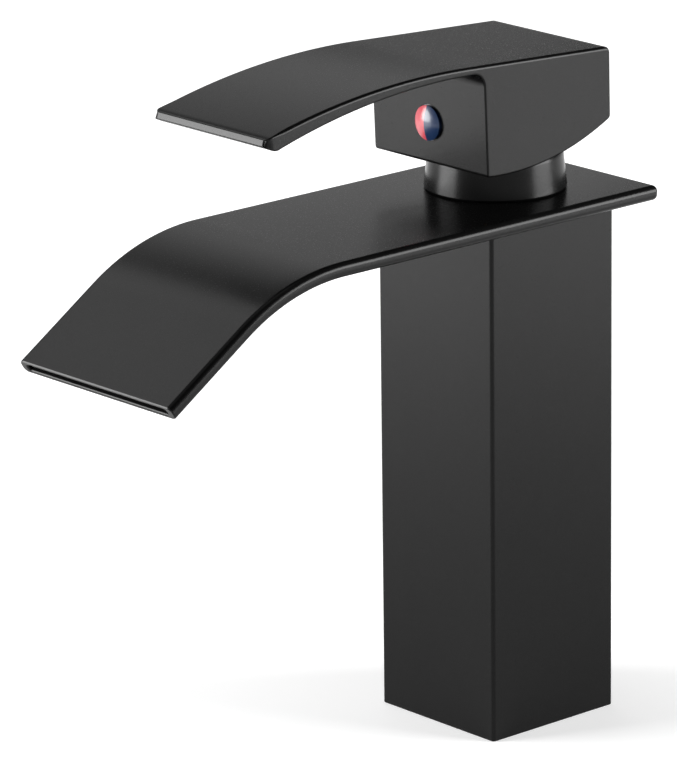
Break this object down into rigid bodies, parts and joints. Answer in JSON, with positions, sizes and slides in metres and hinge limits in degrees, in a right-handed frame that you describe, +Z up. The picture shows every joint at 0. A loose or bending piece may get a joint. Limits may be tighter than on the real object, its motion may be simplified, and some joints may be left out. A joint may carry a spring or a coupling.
{
  "type": "waterfall basin faucet",
  "caption": "Single-lever basin faucet: square column, flat waterfall spout with a slot lip, conical bonnet, hooded lever and ceramic disc cartridge.",
  "frame": {"origin": "centre of the square column's foot, on the deck plane and on the axis of the fixing stud's hole", "axes": "+Z up along the column, the spout and lever point to -Y, +X to the right of someone who looks along +Y from the spout's side, hot on -X"},
  "size_m": [0.0544, 0.1533, 0.1684],
  "materials": {
    "black_coat": "matte black coat on cast and pressed metal",
    "brass": "machined",
    "seal_rubber": "moulded",
    "white_plastic": "moulded",
    "blue_plastic": "moulded",
    "black_plastic": "moulded",
    "alumina": "lapped",
    "steel": "turned",
    "index_red": "glossy dome, red half",
    "index_blue": "glossy dome, blue half"
  },
  "bodies": {
    "faucet": {"column": "black_coat", "valve_body": "brass", "base_gasket": "seal_rubber", "spout_tray": "black_coat", "spout_cover": "black_coat", "spout_gasket_lower": "seal_rubber", "spout_gasket_upper": "seal_rubber", "bonnet": "black_coat", "cartridge_nut": "brass", "cartridge_shell": "white_plastic", "shell_o_ring": "seal_rubber", "cartridge_base": "white_plastic", "seat_seals": "seal_rubber", "port_seals": "seal_rubber", "fixed_disc": "alumina"},
    "swivel": {"carrier": "blue_plastic", "carrier_o_ring": "seal_rubber", "pivot_pin": "steel"},
    "mixing_disc": {"moving_disc": "alumina", "disc_driver": "white_plastic"},
    "lever": {"stem": "brass", "handle": "black_coat", "grub_screw": "steel", "index_plug": "black_plastic", "index_red": "index_red", "index_blue": "index_blue"}
  },
  "joints": [
    {"name": "temperature_turn", "type": "hinge", "parent": "faucet", "child": "swivel", "pos_m": [0, 0, 0.1399], "axis": [0, 0, 1], "range_deg": [-50, 50]},
    {"name": "flow_lift", "type": "hinge", "parent": "swivel", "child": "lever", "pos_m": [0, 0, 0.1399], "axis": [-1, 0, 0], "range_deg": [0, 25]},
    {"name": "disc_slide", "type": "slide", "parent": "swivel", "child": "mixing_disc", "axis": [0, -1, 0], "range_m": [0, 0.003]}
  ],
  "couplings": [
    {"joint": "disc_slide", "follows": "flow_lift", "m_per_rad": 0.0068}
  ]
}
